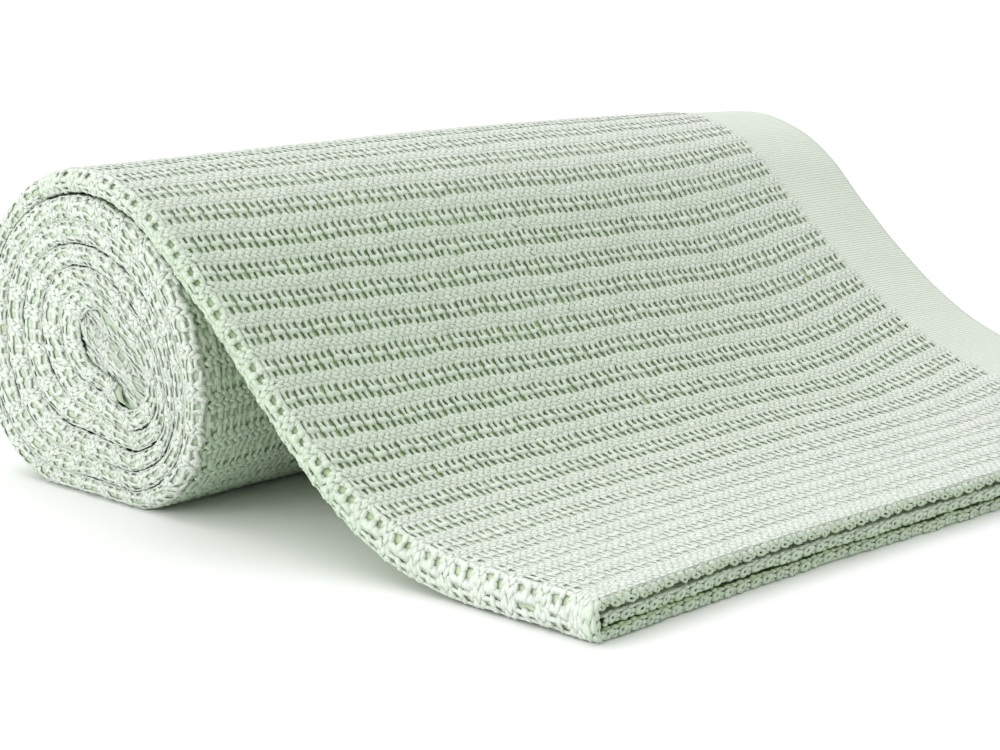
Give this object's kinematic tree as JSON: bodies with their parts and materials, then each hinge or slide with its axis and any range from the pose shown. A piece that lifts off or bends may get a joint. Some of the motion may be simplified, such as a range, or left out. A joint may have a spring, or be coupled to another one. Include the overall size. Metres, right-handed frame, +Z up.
{
  "type": "cellular blanket",
  "caption": "Cotton cellular blanket folded in three and rolled up, with a loose end that slopes down in front and lies flat, and a plain woven border across its far side.",
  "frame": {"origin": "under the middle of the whole thing's box, on the surface that the blanket lies on", "axes": "+X runs along the roll, from the folded near end to the bordered far end; -Y is the side of the loose end; +Z is up"},
  "size_m": [0.459, 0.4044, 0.1508],
  "materials": {
    "cellular_cloth": "soft matt cotton, open cellular weave",
    "plain_border": "matt cotton, close plain weave"
  },
  "bodies": {
    "root": {"roll": "cellular_cloth", "loose_end": "cellular_cloth", "end_border": "plain_border"}
  },
  "joints": []
}
